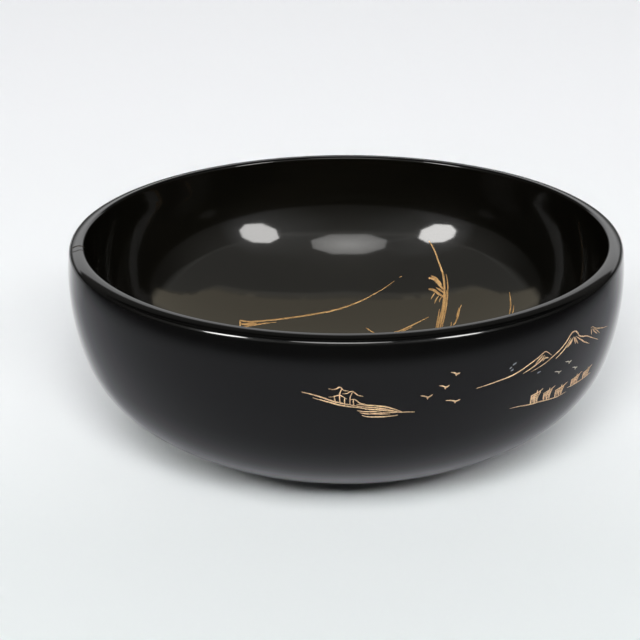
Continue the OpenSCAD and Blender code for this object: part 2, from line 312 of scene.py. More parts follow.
def math_of(nt, op, a, b=None, clamp=False):
    n = nt.nodes.new("ShaderNodeMath")
    n.operation = op
    n.use_clamp = clamp
    for i, v in enumerate((a, b)):
        if v is None:
            continue
        if isinstance(v, (int, float)):
            n.inputs[i].default_value = v
        else:
            nt.links.new(v, n.inputs[i])
    return n.outputs[0]


def colour_mix(nt, fac, a, b):
    n = nt.nodes.new("ShaderNodeMix")
    n.data_type = "RGBA"
    for i, v in ((0, fac), (6, a), (7, b)):
        s = n.inputs[i]
        if isinstance(v, tuple):
            s.default_value = (*v, 1)
        else:
            nt.links.new(v, s)
    return n.outputs[2]


def bump_of(nt, height, strength, distance):
    n = nt.nodes.new("ShaderNodeBump")
    n.inputs["Strength"].default_value = strength
    n.inputs["Distance"].default_value = distance
    nt.links.new(height, n.inputs["Height"])
    return n.outputs[0]


LACQUER_IOR = 1.40
CRACK_BROWN = (0.03, 0.02, 0.012)


def lacquer(name, dark, light, haze=0.06):
    """Aged polished lacquer: a sharp gloss under a weak haze, cloudy in tone, with rubbing marks and nibs."""
    m, nt, b = new_material(name, dark, 0.04)
    b.inputs["IOR"].default_value = LACQUER_IOR
    b.inputs["Coat IOR"].default_value = LACQUER_IOR
    co = mapped(nt)
    cloud = noise_of(nt, co, 14, 5, 0.6)
    fine = noise_of(nt, co, 120, 4, 0.6)
    tone = math_of(nt, "ADD", math_of(nt, "MULTIPLY", cloud, 0.75),
                   math_of(nt, "MULTIPLY", fine, 0.25))
    crack = node(nt, "ShaderNodeAttribute", attribute_name="crack").outputs["Fac"]
    coat = ramp_node(nt, tone, [(0.3, dark), (0.72, light)])
    nt.links.new(colour_mix(nt, crack, coat, CRACK_BROWN), b.inputs["Base Color"])
    b.inputs["Coat Weight"].default_value = haze
    b.inputs["Coat Roughness"].default_value = 0.32
    # rubbing marks: thin bands from stretched noise in two directions
    streak1 = noise_of(nt, mapped(nt, (30, 30, 900)), 1.0, 3, 0.7)
    streak2 = noise_of(nt, mapped(nt, (700, 60, 60)), 1.0, 3, 0.7)
    streak = math_of(nt, "SUBTRACT", math_of(nt, "MAXIMUM", streak1, streak2), 0.58)
    streaks = math_of(nt, "MULTIPLY", streak, 2.0, True)
    worn = noise_of(nt, co, 34, 6, 0.7)
    dull = math_of(nt, "ADD", ramp_node(nt, worn, [(0.38, 0.0), (0.75, 0.035)]),
                   math_of(nt, "MULTIPLY", streaks, 0.05))
    rough = math_of(nt, "ADD", dull, math_of(nt, "MULTIPLY", crack, 0.8))
    nt.links.new(math_of(nt, "ADD", rough, 0.05), b.inputs["Roughness"])
    # dust nibs under the last coat
    vor = node(nt, "ShaderNodeTexVoronoi", Scale=210.0)
    nt.links.new(co, vor.inputs["Vector"])
    nib = ramp_node(nt, vor.outputs["Distance"], [(0.0, 1.0), (0.07, 0.0)])
    rare = ramp_node(nt, noise_of(nt, co, 90, 1, 0.5), [(0.60, 0.0), (0.66, 1.0)])
    nibs = math_of(nt, "MULTIPLY", nib, rare)
    peel = noise_of(nt, co, 260, 3, 0.5)
    h = math_of(nt, "ADD", math_of(nt, "MULTIPLY", peel, 0.12), math_of(nt, "MULTIPLY", nibs, 0.8))
    bump = bump_of(nt, h, 0.35, 0.00005)
    nt.links.new(bump, b.inputs["Normal"])
    nt.links.new(bump, b.inputs["Coat Normal"])
    return m


def powder(name, deep, bright, metallic, rough):
    """Sprinkled metal powder over a brushed line: grains that differ in tone and shine, worn thin in places."""
    m, nt, b = new_material(name, bright, rough, metallic)
    co = mapped(nt)
    grain = noise_of(nt, co, 5200, 2, 0.6)
    patch = noise_of(nt, co, 420, 4, 0.65)
    mixf = math_of(nt, "ADD", math_of(nt, "MULTIPLY", grain, 0.55), math_of(nt, "MULTIPLY", patch, 0.45))
    glint = tuple(min(1, c * 1.15) for c in bright)
    nt.links.new(ramp_node(nt, mixf, [(0.36, deep), (0.54, bright), (0.75, glint)]), b.inputs["Base Color"])
    shine = math_of(nt, "ADD", math_of(nt, "MULTIPLY", patch, 0.3), rough - 0.15, True)
    nt.links.new(shine, b.inputs["Roughness"])
    nt.links.new(bump_of(nt, grain, 0.5, 0.00006), b.inputs["Normal"])
    return m


def wood(name, dark, light):
    """Turned wood under the lacquer, seen only if a coat is taken away."""
    m, nt, b = new_material(name, light, 0.6)
    co = mapped(nt, (1, 1, 0.35))
    wave = node(nt, "ShaderNodeTexWave", Scale=38.0, Distortion=5.0, Detail=3.0)
    wave.wave_type = "RINGS"
    nt.links.new(co, wave.inputs["Vector"])
    pores = noise_of(nt, mapped(nt, (300, 300, 40)), 1.0, 4, 0.6)
    f = math_of(nt, "ADD", math_of(nt, "MULTIPLY", wave.outputs["Fac"], 0.6),
                math_of(nt, "MULTIPLY", pores, 0.4))
    nt.links.new(ramp_node(nt, f, [(0.2, dark), (0.8, light)]), b.inputs["Base Color"])
    nt.links.new(math_of(nt, "ADD", math_of(nt, "MULTIPLY", pores, 0.25), 0.45), b.inputs["Roughness"])
    nt.links.new(bump_of(nt, f, 0.3, 0.0002), b.inputs["Normal"])
    return m


black_lacquer = lacquer("black_lacquer", (0.0007, 0.0007, 0.0007), (0.0018, 0.0017, 0.0016))
olive_lacquer = lacquer("olive_lacquer", (0.0012, 0.0011, 0.0007), (0.0030, 0.0026, 0.0017))
base_lacquer = lacquer("base_lacquer", (0.0025, 0.0024, 0.0022), (0.0050, 0.0046, 0.0040), 0.2)
gold_pale = powder("gold_powder_pale", (0.16, 0.085, 0.04), (0.80, 0.56, 0.34), 0.6, 0.45)
gold_warm = powder("gold_powder_warm", (0.11, 0.05, 0.016), (0.43, 0.26, 0.108), 0.6, 0.45)
silver_dim = powder("silver_powder_worn", (0.05, 0.055, 0.06), (0.22, 0.24, 0.26), 0.6, 0.45)
silver_pale = powder("silver_powder_pale", (0.12, 0.11, 0.09), (0.60, 0.56, 0.46), 0.6, 0.45)
wood_mat = wood("turned_wood", (0.30, 0.17, 0.08), (0.62, 0.42, 0.24))

for name in ("wood_core", "foot_ring"):
    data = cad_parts[name].data
    data.materials.clear()
    data.materials.append(wood_mat)

# ---------------------------------------------------------------- coats of lacquer
IN = COAT - 0.015                      # how deep a coat's back lies, just clear of the wood


def wall(rows, s, height, k, lift=0.0):
    if rows[k, 0] < 1e-6:
        return np.array([[0, 0, rows[k, 1] + lift]])
    p, _ = on_surface(rows, s, height, AZ, np.full(len(AZ), s[k]), lift)
    return p


def coat_of(name, rows, s, height, s_lip, mat):
    """A coat: its face, then its back against the wood.
    s_lip turns a distance along the profile into the distance from the inner edge over the lip."""
    face = [wall(rows, s, height, k) for k in range(len(rows))]
    back = [wall(rows, s, lambda a, s: 0 * a, k, -IN) for k in list(range(len(rows) - 1, 0, -4)) + [0]]
    return lathe(name, face + back, mat, [crack_mark(AZ, s_lip(d)) for d in s])


outer_coat = coat_of("outer_lacquer_coat", outer_rows, outer_s, outer_height, lambda d: LIP_S - d,
                     black_lacquer)
inner_coat = coat_of("inner_lacquer_coat", inner_rows, inner_s, inner_height, lambda d: -d, olive_lacquer)

# the underside coat: base disc, inside of the foot ring, its rounded edge and outside
under = [(0, BASE_Z)] + [(r, BASE_Z) for r in (6, 14, 22, 30, 37, 42, 44)]
under += [tuple(np.array([FOOT_IN - 1, BASE_Z - 1]) + unit2(a)) for a in (72, 54, 36, 18, 0)]
under += [tuple(np.array([FOOT_IN + 1, 1]) + unit2(a)) for a in range(180, 271, 10)]
under += [tuple(np.array([FOOT - 1, 1]) + unit2(a)) for a in range(270, 361, 10)]
under += [(FOOT, 2.5), (FOOT, BASE_Z - 0.05), (FOOT - IN, BASE_Z - 0.05), (FOOT - IN, IN), (FOOT_IN + IN, IN),
          (FOOT_IN + IN, BASE_Z + IN), (20, BASE_Z + IN), (0, BASE_Z + IN)]
under_coat = lathe("underside_lacquer_coat", [ring_at(r, z) for r, z in under], base_lacquer)


# ---------------------------------------------------------------- brush lines
def spline(p, per):
    """A smooth curve through the points, per steps to each unit of length."""
    p = np.asarray(p, float)
    if len(p) == 2:
        q = np.linspace(p[0], p[1], 5)
    else:
        ext = np.vstack([2 * p[0] - p[1], p, 2 * p[-1] - p[-2]])
        q = []
        for i in range(1, len(ext) - 2):
            a, b, c, d = ext[i - 1:i + 3]
            for t in np.linspace(0, 1, 12, endpoint=False):
                q.append(0.5 * (2 * b + (c - a) * t + (2 * a - 5 * b + 4 * c - d) * t * t
                                + (3 * b - a - 3 * c + d) * t ** 3))
        q.append(p[-1])
        q = np.array(q)
    L = np.concatenate([[0], np.cumsum(np.linalg.norm(np.diff(q, axis=0), axis=1))])
    n = max(6, int(L[-1] * per))
    u = np.linspace(0, L[-1], n + 1)
    return np.stack([np.interp(u, L, q[:, k]) for k in range(q.shape[1])], -1), u


STEPS = 3.2                            # cross sections to each mm of a line
NARROW = 0.43                          # half the width of a line, to its nominal width
HIGH = 0.11                            # height of the film in the middle of a line
# cross section of a line: place over half its width, and height over HIGH
DOME = [(-1.0, -0.02), (-0.82, 0.55), (-0.45, 0.9), (0.0, 1.0), (0.45, 0.9), (0.82, 0.55), (1.0, -0.02)]


class Lines:
    """The brush lines of one motif, as slightly domed films that lie on the coat."""

    def __init__(self, wall, seed):
        self.place, self.to_mm = wall
        self.g = np.random.default_rng(seed)
        self.verts, self.faces = [], []

    def draw(self, pts, width=0.75, k0=0.35, k1=0.35):
        """A stroke through places in degrees, and a height (outside) or a radius (inside)."""
        self.stroke(self.to_mm(pts), width, k0, k1)

    def stroke(self, pts, width=0.75, k0=0.35, k1=0.35):
        """A stroke through places in mm; k0 and k1 are its widths at the ends over its widest."""
        c, u = spline(pts, STEPS)
        n = len(c)
        t = u / u[-1]
        swell = np.where(t < 0.5, k0 + (1 - k0) * np.sin(math.pi * t), k1 + (1 - k1) * np.sin(math.pi * t))
        g = self.g
        rag = sum(g.uniform(0.3, 1) * np.sin(u * g.uniform(0.8, 5.5) + g.uniform(0, 6.3))
                  for _ in range(5)) / 5
        half = width * NARROW * swell * (1 + 0.3 * rag)
        off = 0.05 * sum(np.sin(u * g.uniform(0.6, 2.6) + g.uniform(0, 6.3)) for _ in range(3)) / 3
        pos, nor = self.place(c)
        tan = np.gradient(pos, axis=0)
        tan /= np.linalg.norm(tan, axis=1)[:, None]
        side = np.cross(nor, tan)
        side /= np.linalg.norm(side, axis=1)[:, None]
        thin = np.clip(half / (width * NARROW), 0.25, 1)
        base = len(self.verts)
        m = len(DOME) + 1
        for i in range(n):
            for a, h in DOME:
                grain = 1 + 0.18 * g.uniform(-1, 1)
                lift = HIGH * h * thin[i] * grain if h > 0 else -0.02
                self.verts.append(pos[i] + side[i] * (a * half[i] * (1 + 0.05 * g.uniform(-1, 1)) + off[i])
                                  + nor[i] * lift)
            self.verts.append(pos[i] + side[i] * off[i] - nor[i] * 0.03)
        for i in range(n - 1):
            for k in range(m):
                a, b = base + i * m + k, base + i * m + (k + 1) % m
                self.faces.append((a, b, b + m, a + m))
        for start, flip in ((base, False), (base + (n - 1) * m, True)):
            ids = [start + k for k in range(m)]
            tip = len(self.verts)
            i = 0 if not flip else n - 1
            self.verts.append(pos[i] + side[i] * off[i] + tan[i] * (half[i] * 0.9) * (-1 if not flip else 1)
                              + nor[i] * HIGH * 0.3 * thin[i])
            for k in range(m):
                f = (ids[k], ids[(k + 1) % m], tip)
                self.faces.append(f if flip else f[::-1])

    def build(self, name, mat, node_name):
        ob = make(name, self.verts, self.faces, mat, 180)
        bm = bmesh.new()
        bm.from_mesh(ob.data)
        bmesh.ops.recalc_face_normals(bm, faces=bm.faces)
        bm.to_mesh(ob.data)
        bm.free()
        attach(ob, "root")
        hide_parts(node_name)
        return ob


OUT_R, INSIDE_R = 139.0, 110.0         # radii at which distances round the walls are measured


def outside(c):
    """Places [mm round the wall from the front, height]."""
    return outer_at(c[:, 0] / OUT_R, c[:, 1])


inner_r = inner_rows[::-1, 0]
inner_sr = inner_s[::-1]


def inside(c):
    """Places [mm round from the back, distance down the wall]."""
    return inner_at(math.pi - c[:, 0] / INSIDE_R, c[:, 1])


def out_pts(p):
    return [(math.radians(a) * OUT_R, z) for a, z in p]


def in_pts(p):
    return [(math.radians(a) * INSIDE_R, float(np.interp(r, inner_r, inner_sr))) for a, r in p]


OUTSIDE, INSIDE = (outside, out_pts), (inside, in_pts)


def bird(L, deg, x, z, l, r, lift, w):
    """A bird in flight: two wings l and r mm long, and a short body."""
    x = x + math.radians(deg) * OUT_R
    L.stroke([(x - l, z + 1.2), (x - l / 2, z + 0.8), (x, z)], w, 0.3, 1.1)
    L.stroke([(x, z), (x + r * 0.6, z + lift * 0.5), (x + r, z + lift)], w, 1.1, 0.4)
    L.stroke([(x - 0.5, z + 0.3), (x - 0.3, z - 0.9)], w * 1.3, 0.6, 0.4)


def bush(L, deg, x, z, h, k=1.0):
    """A low bush h mm high: four stems, a slanting top, two cross strokes and a twig."""
    x = x + math.radians(deg) * OUT_R
    h = h * L.g.uniform(0.80, 0.94)
    lean = L.g.uniform(-0.5, 0.5)
    x, k = x + lean * 0.5, k * L.g.uniform(0.9, 1.02)
    L.stroke([(x - 3.4 * k, z + h * 0.9), (x - 3.2 * k, z + h * 0.45), (x - 2.8 * k, z + 0.3)], 1.2, 0.7, 0.7)
    L.stroke([(x - 0.8 * k + lean, z + h * 0.95), (x - 0.9 * k, z + h * 0.5), (x - 0.2 * k, z)], 1.3, 0.7, 0.7)
    L.stroke([(x + 2.4 * k - lean, z + h), (x + 1.4 * k, z + h * 0.5), (x + 1.6 * k, z)], 1.2, 0.7, 0.7)
    L.stroke([(x - 3.8 * k, z + h * 0.9), (x - k, z + h * 0.95), (x + 1.4 * k, z + h * 1.02),
              (x + 4.4 * k, z + h * 1.25)], 1.0, 0.6, 0.3)
    L.stroke([(x - 3 * k, z + h * 0.5), (x - 0.6 * k, z + h * 0.6), (x + 1.8 * k, z + h * 0.4)], 0.9, 0.6, 0.5)
    L.stroke([(x + 0.4 * k, z + h * 1.3), (x + 0.2 * k, z + h)], 0.7, 0.5, 0.8)
    L.stroke([(x - 3.2 * k, z + h * 0.7), (x - k, z + h * 0.76), (x + 1.8 * k, z + h * 0.82)], 0.7, 0.6, 0.5)
    L.stroke([(x - 2.1 * k, z + h * 0.8), (x - 1.9 * k, z + h * 0.4), (x - 1.7 * k, z + 0.4)], 0.6, 0.7, 0.6)
    L.stroke([(x + 0.7 * k, z + h * 0.85), (x + 0.5 * k, z + h * 0.4), (x + 0.7 * k, z + 0.3)], 0.6, 0.7, 0.6)


L = Lines(OUTSIDE, 101)
L.draw([[-8, 82.3], [-6, 81.2], [-4, 79.7], [-2.5, 78.3], [0, 76.8], [2.2, 75.6]], 0.9)
L.draw([[-6, 79.6], [-4.5, 78.6], [-3, 77.6], [-1, 76.2], [1, 75.3], [3, 74.8]], 0.9)
L.draw([[-3.1, 84.4], [-2.2, 84.1], [-1.6, 84.6], [-1.2, 85.2], [-0.8, 84.9], [-0.4, 83.8], [0.5, 83.3]], 0.75)
L.draw([[-0.6, 82], [0.3, 82.2], [0.8, 83], [1.3, 83.1], [1.7, 82.3], [2.3, 81.2], [3.2, 80.6]], 0.7)
L.draw([[-0.7, 84.3], [-1, 82.8], [-1.1, 81], [-1.1, 79], [-1, 77]], 0.75, 0.8, 0.8)
L.draw([[1.2, 82.6], [1, 81.4], [0.8, 80], [0.8, 76.6]], 0.6, 0.8, 0.8)
L.draw([[-3.1, 80.3], [-2.5, 80.4], [-1.8, 80.9], [-1.1, 81.3], [-0.5, 80.5], [0.2, 79.4]], 0.6)
L.draw([[-2.1, 80.8], [-2, 79.4], [-1.9, 77.8]], 0.6, 0.8, 0.8)
L.draw([[-0.2, 80.3], [-0.2, 78.8], [-0.2, 76.6]], 0.6, 0.8, 0.8)
L.draw([[0.8, 79], [1.5, 79.2], [2, 78.5], [2.6, 77.2], [3.8, 76.4]], 0.7)
L.draw([[1.4, 79], [1.4, 77.6], [1.5, 75.8]], 0.6, 0.8, 0.8)
L.draw([[2, 76.6], [3.8, 76.1], [5.8, 75.5], [7.6, 74.6], [9, 73.3], [10.4, 71.7]], 0.9)
L.draw([[1.4, 76], [3.4, 75.2], [5.4, 74.6], [7.4, 73.6], [9.4, 72.2]], 0.8)
L.draw([[2.2, 74.9], [4, 74], [6, 73.4], [8, 72.6], [10, 71.8]], 0.9)
L.draw([[2.1, 73.3], [3.6, 72.7], [5.2, 72.6], [6.6, 72.1]], 0.8)
L.draw([[2.6, 72.2], [4, 71.5], [5.6, 71.4], [8.2, 70.9]], 0.9)
L.draw([[3, 70.8], [4, 70], [6, 69.7], [8, 69.7], [9.7, 70]], 0.9)
L.draw([[6.4, 72], [8, 71.7], [10.3, 71.5], [12.9, 71]], 0.6)
L.build("islet_lines", gold_pale, "gold_islet")

L = Lines(OUTSIDE, 102)
bird(L, 18, -6.4, 77.9, 3.6, 1.9, 1.3, 0.75)
bird(L, 18, 1.8, 81.9, 3.2, 1.5, 0.8, 0.75)
bird(L, 18, 7, 73.9, 5, 2, 0.6, 0.8)
bird(L, 18, 6.8, 87.8, 3, 1.4, 0.3, 0.8)
L.build("bird_lines", gold_pale, "gold_birds")

L = Lines(OUTSIDE, 103)
L.draw([[25, 78.7], [27, 79.3], [29, 79.9], [32, 80.8], [34, 81.9], [36, 83.6], [38, 85.4], [40, 87.4],
        [40.6, 88], [41.4, 87.4], [42.6, 85]], 0.8)
L.draw([[35.4, 80.5], [37.2, 81.8], [38.6, 83], [40.2, 84.6], [40.9, 85.8]], 0.8)
L.draw([[38.4, 83.3], [39.2, 85], [40.2, 86.6]], 0.9)
L.draw([[39.4, 83.6], [40.2, 85.2], [40.6, 86.4]], 0.9)
L.draw([[40.2, 83.7], [41, 84.8], [41.8, 84.2]], 0.9)
L.draw([[37.4, 80.1], [39, 80.9], [41, 82.1], [43, 84], [45, 86], [46.6, 88.3], [48, 91.2], [48.8, 92.1],
        [49.8, 91.7], [50.6, 90], [51, 88.6], [52.4, 87.1], [54, 86], [56, 83.6], [59.4, 79.6]], 0.85)
L.draw([[44, 82.3], [45, 83.4], [46.4, 85.4], [47.4, 87.6], [48.2, 89.6]], 0.8)
L.draw([[46.4, 85.6], [47.6, 86.6], [48.6, 88.8]], 1)
L.draw([[47.2, 85.4], [48.4, 87.2], [49, 89.4]], 1)
L.draw([[49.9, 85.4], [49.6, 87.2], [49.2, 89.4]], 1)
L.draw([[50.8, 84.8], [50.2, 86.6], [49.6, 88.8]], 1)
L.draw([[49.8, 89.2], [50.8, 87.6], [52, 85.6], [53.4, 83.4], [55.4, 81]], 0.8)
L.draw([[55.4, 88.8], [56.2, 88.9], [57.6, 87], [60, 85], [62, 83.6], [64, 82.4]], 0.7)
L.draw([[55.6, 88.4], [55.8, 86.6], [56, 85]], 0.8)
L.draw([[56.2, 87.8], [57, 86], [58.6, 83.4]], 0.8)
L.draw([[56.6, 87.6], [58.2, 85.4], [60, 82.4]], 0.7)
L.build("mountain_lines", gold_pale, "gold_mountains")

L = Lines(OUTSIDE, 104)
L.draw([[32.8, 86.5], [33.5, 87.1]], 1, 0.9, 0.7)
L.draw([[32.1, 85], [32.5, 85.5]], 0.9, 0.9, 0.7)
L.draw([[32.4, 83.7], [32.9, 84.2]], 0.9, 0.9, 0.7)
L.draw([[39.2, 78.2], [39.9, 78.6]], 0.9, 0.9, 0.7)
L.build("silver_fleck_marks", silver_dim, "silver_flecks")

L = Lines(OUTSIDE, 105)
bird(L, 48.7, 0, 76.9, 3.6, 1.4, 0.3, 0.7)
bird(L, 45.7, 0, 74, 3.8, 1.3, 0.2, 0.7)
bird(L, 51.4, 0, 71.6, 3.2, 1.2, 0.2, 0.7)
L.build("silver_bird_lines", silver_pale, "silver_birds")

L = Lines(OUTSIDE, 106)
bush(L, 42, -5, 62, 5.4)
bush(L, 42, 3.6, 61, 5.5)
bush(L, 42, 13, 59.6, 5.6, 1.1)
L.draw([[33.4, 63.2], [35.7, 62.8], [38.4, 61.8], [41.2, 61.3], [44.3, 60.2], [47.2, 59.5], [49.9, 59.8]], 0.8)
L.build("near_bush_lines", gold_pale, "gold_bushes_near")

L = Lines(OUTSIDE, 107)
bush(L, 55, -6, 61.6, 4.8, 1.2)
bush(L, 55, 5, 61.5, 4.8, 1.2)
L.draw([[49.8, 62.1], [51.7, 61.7], [54, 61.7], [56.5, 61.6], [59.2, 61.9]], 0.8)
L.build("far_bush_lines", gold_pale, "gold_bushes_far")

inside_lines = []
L = Lines(INSIDE, 108)
L.draw([[14.6, 109.2], [12.2, 106.1], [9.3, 103.1], [6.3, 100.2], [3.1, 97.8], [-0.2, 95.8], [-3.6, 94.3],
        [-7.2, 93.2], [-14.4, 92.1], [-20, 91.9], [-25.4, 92.1], [-31, 92.9], [-34.6, 93.8],
        [-37.5, 95.6]], 1.3, 0.3, 1)
L.draw([[-25.4, 90.7], [-30.8, 91.3], [-35, 91.7], [-38.6, 92.2]], 1.2, 0.3, 1)
L.draw([[-37.6, 96], [-38.3, 94.5], [-39.1, 92.5]], 1.2, 0.7, 0.7)
L.draw([[-32.6, 92.2], [-36.1, 93], [-38, 93.8]], 2, 0.4, 0.8)
L.draw([[16.6, 111.4], [16.1, 110.9]], 0.8, 0.9, 0.9)
inside_lines.append(L.build("long_slope_lines", gold_warm, "gold_long_slope"))

L = Lines(INSIDE, 109)
L.draw([[29.3, 94.7], [27, 91.5], [24.2, 87.7], [21.8, 84.8], [19.1, 82.5], [13.9, 79.6]], 1.3, 0.5, 0.6)
L.draw([[25.1, 87.5], [22.4, 84.1], [19.7, 81.8], [15, 79.4]], 1.2, 0.4, 0.6)
inside_lines.append(L.build("second_slope_lines", gold_warm, "gold_second_slope"))

L = Lines(INSIDE, 110)
L.draw([[7.8, 83.7], [10, 81.9], [12.3, 79.8]], 1, 0.5, 0.5)
inside_lines.append(L.build("short_stroke_line", gold_warm, "gold_short_stroke"))

L = Lines(INSIDE, 111)
L.draw([[22.5, 123.7], [24.4, 121.5], [26.1, 118.7], [27.6, 116.2], [29.1, 113.4], [30.5, 109.3], [31.6, 105.2],
        [32.6, 100.6], [33.4, 95.5], [34.6, 90], [35.4, 87]], 1.5, 0.4, 0.7)
L.draw([[29.6, 114.6], [31.1, 111.1], [32.2, 107.2], [33.3, 102.9], [34.4, 98.1], [35.7, 92.2],
        [36.8, 87.6]], 1.1)
L.draw([[31.4, 108.6], [32.3, 104.6], [33.3, 100], [34.3, 95], [35.4, 90.6], [36, 88]], 1.5, 0.3, 0.8)
L.draw([[31.7, 99.8], [32.5, 96.3], [33.5, 92], [34.5, 88]], 1)
L.draw([[24.9, 112.1], [26.1, 112.2], [28, 110.8], [30.2, 108.8]], 2.0, 0.8, 0.6)
L.draw([[25.2, 113.2], [27, 112.4], [29.4, 110.3]], 1.5)
L.draw([[25.9, 107.8], [27.4, 107.7], [29.3, 106.6], [31.3, 105.6]], 1.9, 0.8, 0.6)
L.draw([[27.9, 108.9], [29.4, 108.2], [31, 107.3]], 1.3)
L.draw([[27.6, 103.6], [27.8, 105.3], [28.1, 106.8]], 0.9)
L.draw([[29.3, 101.9], [29.3, 103.6], [29.6, 105.6]], 0.9)
L.draw([[30.7, 103], [30.5, 104.4], [30.8, 105.7]], 0.9)
inside_lines.append(L.build("pine_lines", gold_warm, "gold_pine"))

L = Lines(INSIDE, 112)
L.draw([[38.2, 104], [38.6, 101.1], [39.2, 98.2], [39.7, 95], [39.5, 90.7]], 1.3, 0.4, 0.6)
L.draw([[38, 102.5], [38.8, 99.7], [39.5, 96.7]], 2.2, 0.2, 0.2)
L.draw([[38.2, 95], [39, 92.6], [39.4, 90.3]], 0.9)
inside_lines.append(L.build("bud_lines", gold_warm, "gold_bud"))

L = Lines(INSIDE, 113)
L.draw([[51.7, 114.7], [53.5, 112.3], [55.2, 109.7], [56.4, 107.1], [57.3, 105.1]], 1.1, 0.4, 0.6)
L.draw([[55.6, 111.2], [56.8, 109.1], [57.8, 106.4]], 0.9)
inside_lines.append(L.build("reed_lines", gold_warm, "gold_reeds"))

for ob, node_name, slot_name in ((outer_coat, "outer_lacquer", "outer_lacquer"),
                                 (inner_coat, "inner_lacquer", "inner_lacquer"),
                                 (under_coat, "underside_lacquer", "underside_lacquer")):
    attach(ob, "root")
    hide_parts(node_name)

# ---------------------------------------------------------------- floor, light and camera
scene = bpy.context.scene
scene.view_settings.view_transform = "Standard"

FLOOR_RADIUS = 6.0                     # metres
FLOOR_DROP = -0.0002                   # just under the foot


def floor():
    me = bpy.data.meshes.new("floor")
    n, r = 96, FLOOR_RADIUS
    turns = [2 * math.pi * i / n for i in range(n)]
    ring = [(r * math.cos(a), r * math.sin(a), FLOOR_DROP) for a in turns]
    me.from_pydata(ring, [], [tuple(range(n))])
    ob = bpy.data.objects.new("floor", me)
    scene.collection.objects.link(ob)
    m = bpy.data.materials.new("floor_white")
    m.use_nodes = True
    nt = m.node_tree
    b = nt.nodes["Principled BSDF"]
    b.inputs["Roughness"].default_value = 0.9
    b.inputs["Specular IOR Level"].default_value = 0.1
    # painted light on the paper: darker in front and lighter from beside the object back, for how the light
    # falls on it;
    # for the rays the lacquer mirrors, a painted reflection: greyer, dark further off, and bright behind the
    # object
    tc = nt.nodes.new("ShaderNodeTexCoord")
    sep = nt.nodes.new("ShaderNodeSeparateXYZ")
    nt.links.new(tc.outputs["Object"], sep.inputs[0])
    depth = sep.outputs["Y"]
    paper_painted_light = ramp_node(nt, math_of(nt, "ADD", math_of(nt, "MULTIPLY", depth, 0.5), 0.3),
                      [(0.15, (0.70, 0.735, 0.74)), (0.24, (0.71, 0.74, 0.745)),
                       (0.32, (0.79, 0.81, 0.82)), (0.6, (0.82, 0.83, 0.85))])
    # painted reflection: the floor's colour as the lacquer mirrors it, dim near, dark far off, bright in a
    # wedge behind the object
    side = math_of(nt, "ABSOLUTE", sep.outputs["X"])
    far = math_of(nt, "SQRT", math_of(nt, "ADD", math_of(nt, "MULTIPLY", depth, depth),
                                      math_of(nt, "MULTIPLY", side, side)))
    sheet = ramp_node(nt, far, [(0.14, (0.44, 0.445, 0.47)), (0.24, (0.43, 0.435, 0.465)),
                                (0.36, (0.41, 0.415, 0.44)), (0.43, (0.29, 0.295, 0.31)),
                                (0.50, (0.105, 0.107, 0.115)), (0.58, (0.03, 0.03, 0.032)),
                                (0.9, (0.02, 0.02, 0.02))])
    near = ramp_node(nt, far, [(0.18, 0.08), (0.30, 0.0)])
    turn = math_of(nt, "DIVIDE", math_of(nt, "ADD", depth, near), math_of(nt, "MAXIMUM", side, 0.01))
    wedge = math_of(nt, "MULTIPLY", math_of(nt, "SUBTRACT", turn, 0.4), 1.7, True)
    behind = ramp_node(nt, far, [(0.45, (0.98, 0.985, 1.0)), (0.85, (0.55, 0.555, 0.57))])
    painted_reflection = colour_mix(nt, wedge, sheet, behind)
    lp = nt.nodes.new("ShaderNodeLightPath")
    nt.links.new(colour_mix(nt, lp.outputs["Is Glossy Ray"], paper_painted_light, painted_reflection), b.inputs["Base Color"])
    # seen from below it is clear, so that the underside of the object can be looked at
    geo = nt.nodes.new("ShaderNodeNewGeometry")
    clear = nt.nodes.new("ShaderNodeBsdfTransparent")
    mix = nt.nodes.new("ShaderNodeMixShader")
    nt.links.new(geo.outputs["Backfacing"], mix.inputs[0])
    nt.links.new(b.outputs[0], mix.inputs[1])
    nt.links.new(clear.outputs[0], mix.inputs[2])
    nt.links.new(mix.outputs[0], nt.nodes["Material Output"].inputs["Surface"])
    me.materials.append(m)


floor()

OPAQUE = 0.97                          # level above which a light hides what is behind it
CLEAR = 0.96                           # the highest level at which it doesn't
DIMMED = 0.8                           # how much of a light is lost when it is mirrored a second time


